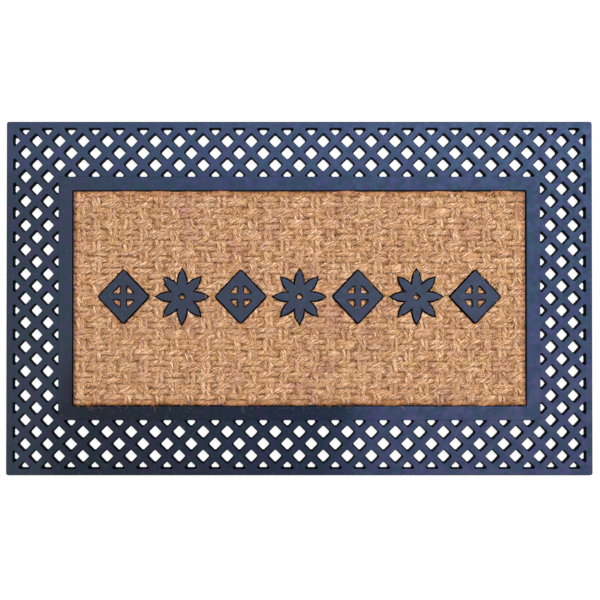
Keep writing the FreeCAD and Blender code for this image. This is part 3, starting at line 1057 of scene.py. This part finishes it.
border_material = rubber("border_rubber", *BORDER_COLORS, 0.15, SHADED_END_BORDER_COLORS, shaded_place_gloss=0.6)
lip_material = rubber("frame_lip_rubber", *BORDER_COLORS, 0.5, SHADED_END_FRAME_COLORS, shaded_place_gloss=0.3)
motif_material = rubber("motif_rubber", *MOTIF_COLORS, wall_shade=0.06)
backing_material = rubber("backing_rubber", *BACKING_COLORS, wall_shade=0.8)
yarn_material = coir_yarn("coir_yarn")
core_material = coir_core("coir_core")
fibre_material = coir_fibre("coir_fibre")

border, opening = border_moulding(border_material)
for piece in (border, frame_lip(opening, lip_material)):
    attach(piece, "root")
    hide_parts("border_moulding")

for node in MOTIF_NODES:
    ornament = motif_piece(node, motif_material)
    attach(ornament, "root")
    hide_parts(node)

weft_lines = yarn_lines(lengthwise=True)
warp_lines = yarn_lines(lengthwise=False)
weave = [("coir_weft", weft_lines, WEFT_HALF_WIDTH, WEFT_PIECES)]
weave.append(("coir_warp", warp_lines, WARP_HALF_WIDTH, WARP_PIECES))
coir_pieces = []
woven_points, woven_faces = [], []


def add_woven(name, points, faces, material, attributes=None):
    """A coir piece, pressed under the motifs, that also counts for the height of the weave."""
    points = pressed_under_motifs(points)
    first = sum(len(earlier) for earlier in woven_points)
    woven_faces.extend([corner + first for corner in face] for face in faces)
    woven_points.append(points)
    coir_pieces.append(new_piece(name, points.tolist(), faces, material, attributes))


for name, lines, half_width, shares in weave:
    add_woven(f"{name}_cores", *core_arrays(lines, half_width), core_material)
    for number, part in enumerate(np.array_split(np.arange(len(lines)), shares)):
        points, faces, fibres, tints = woven_arrays([lines[index] for index in part], half_width)
        values = {"fibre": fibres, "tint": tints}
        add_woven(f"{name}_strands_{number + 1}", points, faces, yarn_material, values)

surface = HeightMap(np.concatenate(woven_points), woven_faces)
laid = [("coir_tufts", *tufts(surface), TUFT_SIDES, TUFT_PIECES)]
laid.append(("loose_fibres", *loose_fibres(surface), FIBRE_SIDES, FIBRE_PIECES))
for name, paths, radii, sides, shares in laid:
    for number in range(shares):
        points, faces, tints = fibre_mesh(paths[number::shares], radii[number::shares], sides)
        piece_name = f"{name}_{number + 1}"
        coir_pieces.append(new_piece(piece_name, points.tolist(), faces, fibre_material, {"tint": tints}))

ground = ground_cloth(coir_cloth("coir_ground"))
for piece in [ground, *coir_pieces]:
    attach(piece, "root")
    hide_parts("coir_panel")

for name, material in (("backing_sheet", backing_material), ("bond_layer", latex("latex_bond"))):
    nodes[name].data.materials.clear()
    nodes[name].data.materials.append(material)

# ---- Floor, light and camera ----

floor_mesh = bpy.data.meshes.new("floor")
sides = ((-1, -1), (1, -1), (1, 1), (-1, 1))
corners = [(x * FLOOR_HALF_SIZE, y * FLOOR_HALF_SIZE, FLOOR_HEIGHT) for x, y in sides]
floor_mesh.from_pydata(corners, [], [(0, 1, 2, 3)])
floor = bpy.data.objects.new("floor", floor_mesh)
floor_mesh.materials.append(studio_floor("studio_floor"))
bpy.context.collection.objects.link(floor)

light = bpy.data.lights.new("key_light", "AREA")
light.size = LIGHT_SIZE
light.energy = LIGHT_POWER
light.color = LIGHT_COLOR
lamp = bpy.data.objects.new("key_light", light)
lamp.location = LIGHT_PLACE
lamp.rotation_euler = Vector(LIGHT_PLACE).to_track_quat("Z", "Y").to_euler()
bpy.context.collection.objects.link(lamp)

world = bpy.data.worlds.new("studio")
world.use_nodes = True
sky = world.node_tree.nodes["Background"].inputs
sky["Color"].default_value = WORLD_COLOR
sky["Strength"].default_value = WORLD_STRENGTH
bpy.context.scene.world = world
bpy.context.scene.view_settings.view_transform = "Standard"

camera_data = bpy.data.cameras.new("camera")
camera_data.sensor_width = SENSOR_WIDTH
camera_data.lens = SENSOR_WIDTH * CAMERA_HEIGHT / VIEW_WIDTH
camera = bpy.data.objects.new("camera", camera_data)
camera.location = (CAMERA_ASIDE, CAMERA_BACK, MAT_HIGH.z + CAMERA_HEIGHT)
camera.rotation_euler = (CAMERA_TILT, 0, 0)
bpy.context.collection.objects.link(camera)
bpy.context.scene.camera = camera
